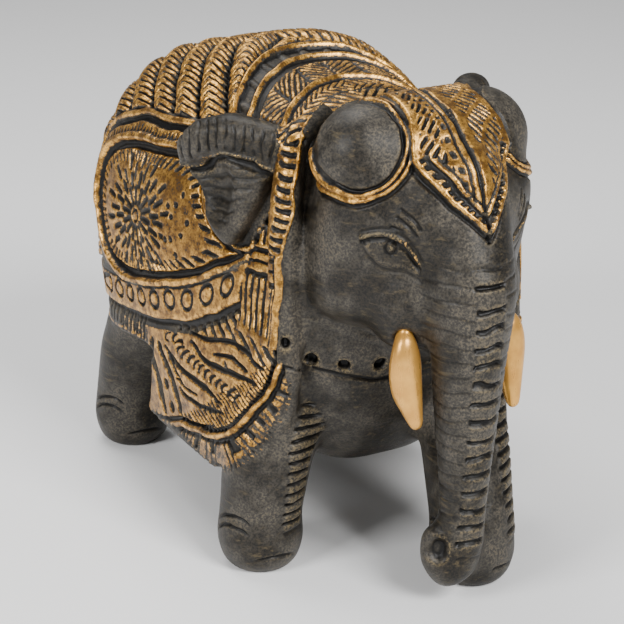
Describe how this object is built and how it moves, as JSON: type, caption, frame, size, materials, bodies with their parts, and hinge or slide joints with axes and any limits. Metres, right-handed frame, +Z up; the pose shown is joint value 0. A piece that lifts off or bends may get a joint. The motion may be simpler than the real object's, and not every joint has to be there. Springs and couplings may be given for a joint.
{
  "type": "carved wooden elephant",
  "caption": "Carved and painted wooden elephant in mid-stride, with a saddle cloth and ears in relief, a domed forehead, a curled trunk and inset tusks.",
  "frame": {"origin": "centre of the footprint box, on the plane the feet stand on", "axes": "+Z up, the elephant faces -Y, its right side is towards -X"},
  "size_m": [0.0985, 0.1709, 0.1339],
  "materials": {
    "black_painted_wood": "satin black paint over carved wood, gold dry-brushed on the relief",
    "gold_painted_wood": "satin gold paint"
  },
  "bodies": {
    "root": {"carved_body": "black_painted_wood", "tusk_right": "gold_painted_wood", "tusk_left": "gold_painted_wood"}
  },
  "joints": []
}
